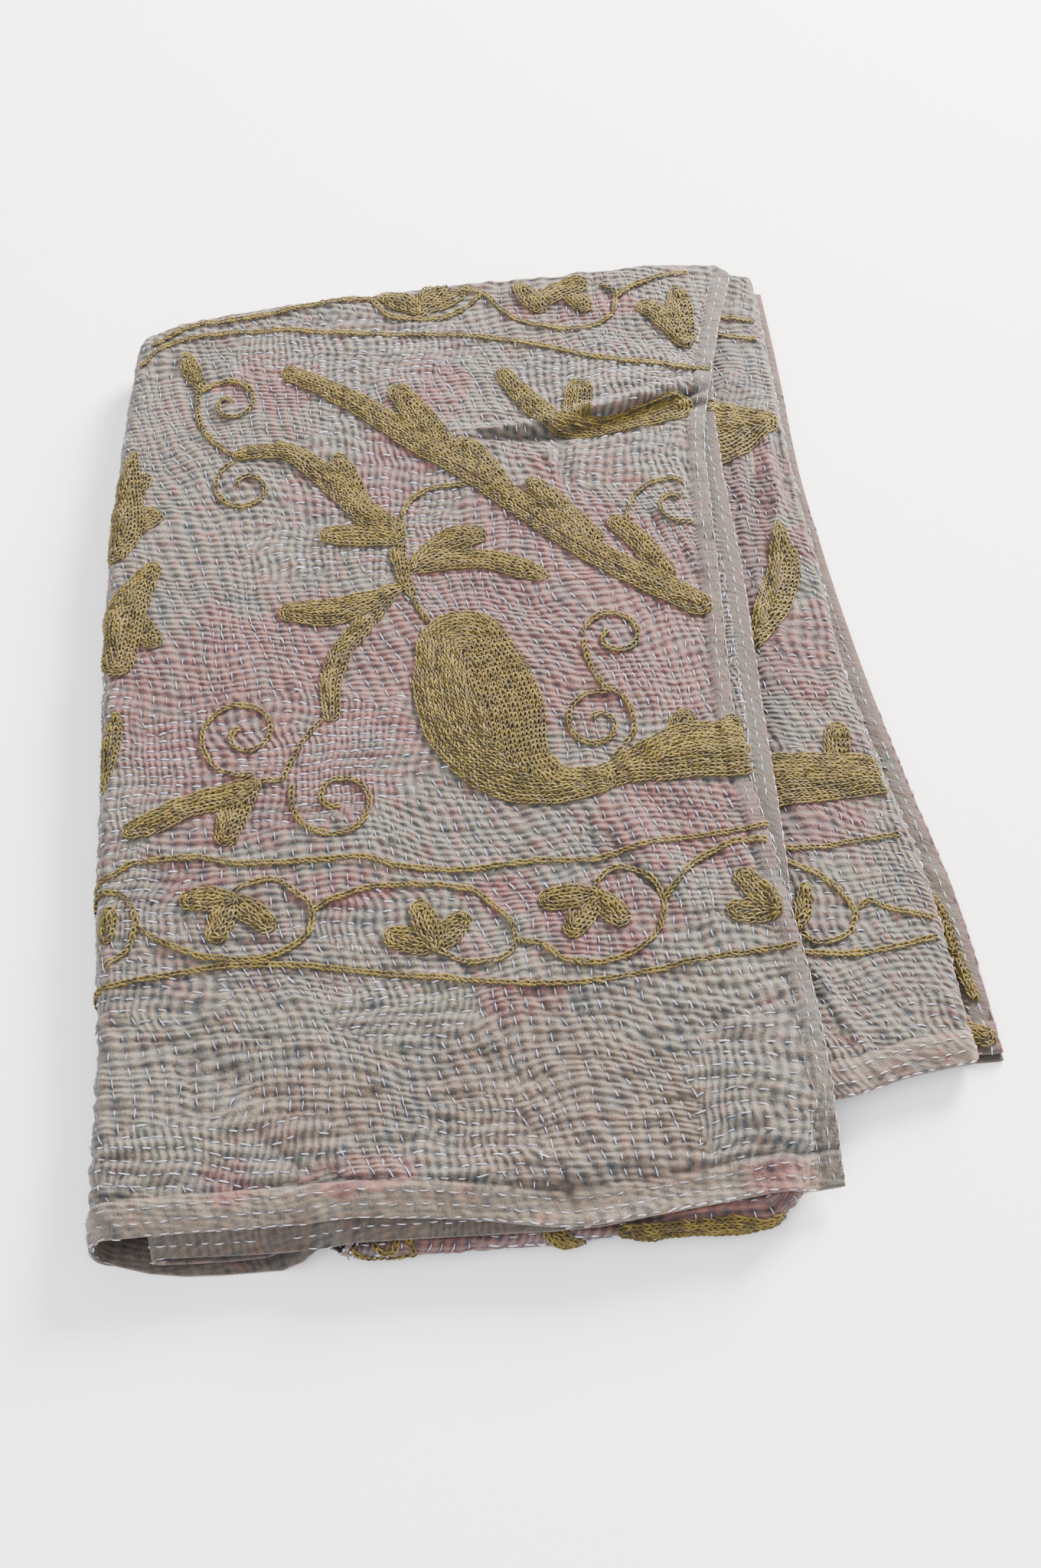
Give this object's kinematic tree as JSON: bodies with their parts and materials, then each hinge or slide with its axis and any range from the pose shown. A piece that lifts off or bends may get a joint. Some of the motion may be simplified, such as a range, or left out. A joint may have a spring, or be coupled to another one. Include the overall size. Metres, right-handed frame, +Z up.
{
  "type": "folded kantha quilt",
  "caption": "Hand-quilted cotton throw, folded in half and then back and forth into a low pile, with turned hems and round folds, lying flat on a surface.",
  "frame": {"origin": "middle of the pile's outline, on the surface it lies on", "axes": "+Z up, +Y from the front hems to the back fold, +X towards the side where the runs step out"},
  "size_m": [0.5356, 0.7211, 0.0364],
  "materials": {
    "washed_cotton": "soft washed cotton, overdyed grey green with rose patches, quilted all over"
  },
  "bodies": {
    "root": {"quilt": "washed_cotton"}
  },
  "joints": []
}
